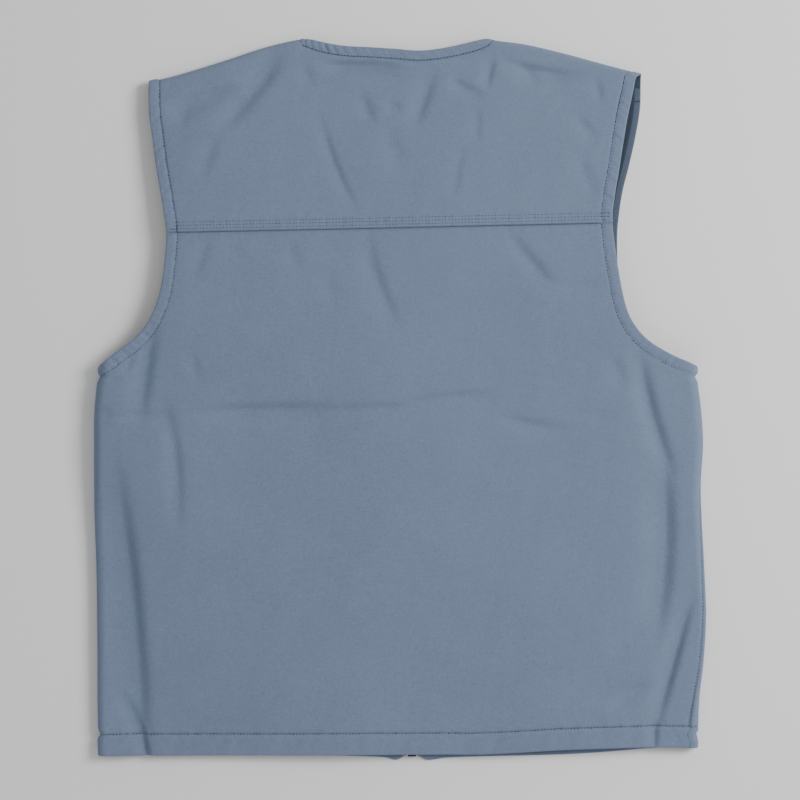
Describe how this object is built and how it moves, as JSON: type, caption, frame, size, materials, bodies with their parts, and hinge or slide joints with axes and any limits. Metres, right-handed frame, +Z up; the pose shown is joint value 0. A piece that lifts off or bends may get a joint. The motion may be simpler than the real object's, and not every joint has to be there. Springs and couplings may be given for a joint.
{
  "type": "canvas work vest",
  "caption": "Blue-grey canvas vest with a back yoke, bound neck, turned armholes and hem, and a front zip, lying on its front with its back up.",
  "frame": {"origin": "centre of the bounding box, on the surface that the vest lies on", "axes": "+Y from the hem towards the shoulders, +Z up from the surface on the side of the back, +X towards the wearer's right side"},
  "size_m": [0.5835, 0.6896, 0.0212],
  "materials": {
    "canvas": "matte woven canvas",
    "zip_tape": "matte woven tape",
    "zip_black": "satin black"
  },
  "bodies": {
    "root": {"back_body": "canvas", "back_yoke": "canvas", "front_left": "canvas", "front_right": "canvas", "back_hem": "canvas", "back_hem_side": "canvas", "front_hem_left": "canvas", "front_hem_right": "canvas", "armhole_hem_left": "canvas", "armhole_hem_right": "canvas", "neck_binding": "canvas", "zip_tape_left": "zip_tape", "zip_tape_right": "zip_tape", "zip_teeth_left": "zip_black", "zip_teeth_right": "zip_black", "zip_slider": "zip_black", "zip_box": "zip_black"}
  },
  "joints": []
}
